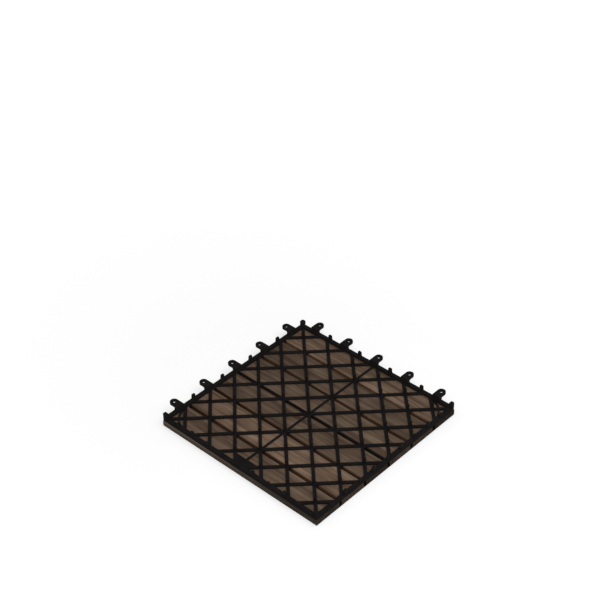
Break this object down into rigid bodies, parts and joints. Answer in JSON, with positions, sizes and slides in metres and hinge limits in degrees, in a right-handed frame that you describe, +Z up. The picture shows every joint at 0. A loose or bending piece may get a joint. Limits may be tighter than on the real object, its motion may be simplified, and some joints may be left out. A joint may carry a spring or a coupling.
{
  "type": "interlocking deck tile",
  "caption": "Square deck tile lying upside down: parallel wooden slats on a black moulded lattice base with feet, edge pegs and loops that join neighbouring tiles.",
  "frame": {"origin": "middle of the slat field, on the plane of the walking face, which lies on the ground", "axes": "+X along the slats towards one peg side, +Y across the slats towards one loop side, +Z up towards the feet"},
  "size_m": [0.3083, 0.3083, 0.022],
  "materials": {
    "base": "matte black moulded plastic",
    "slat": "oiled dark brown hardwood",
    "screw": "black coated steel"
  },
  "bodies": {
    "root": {"base_grid": "base", "slat_1": "slat", "slat_2": "slat", "slat_3": "slat", "slat_4": "slat", "slat_5": "slat", "slat_6": "slat", "screws": "screw"}
  },
  "joints": []
}
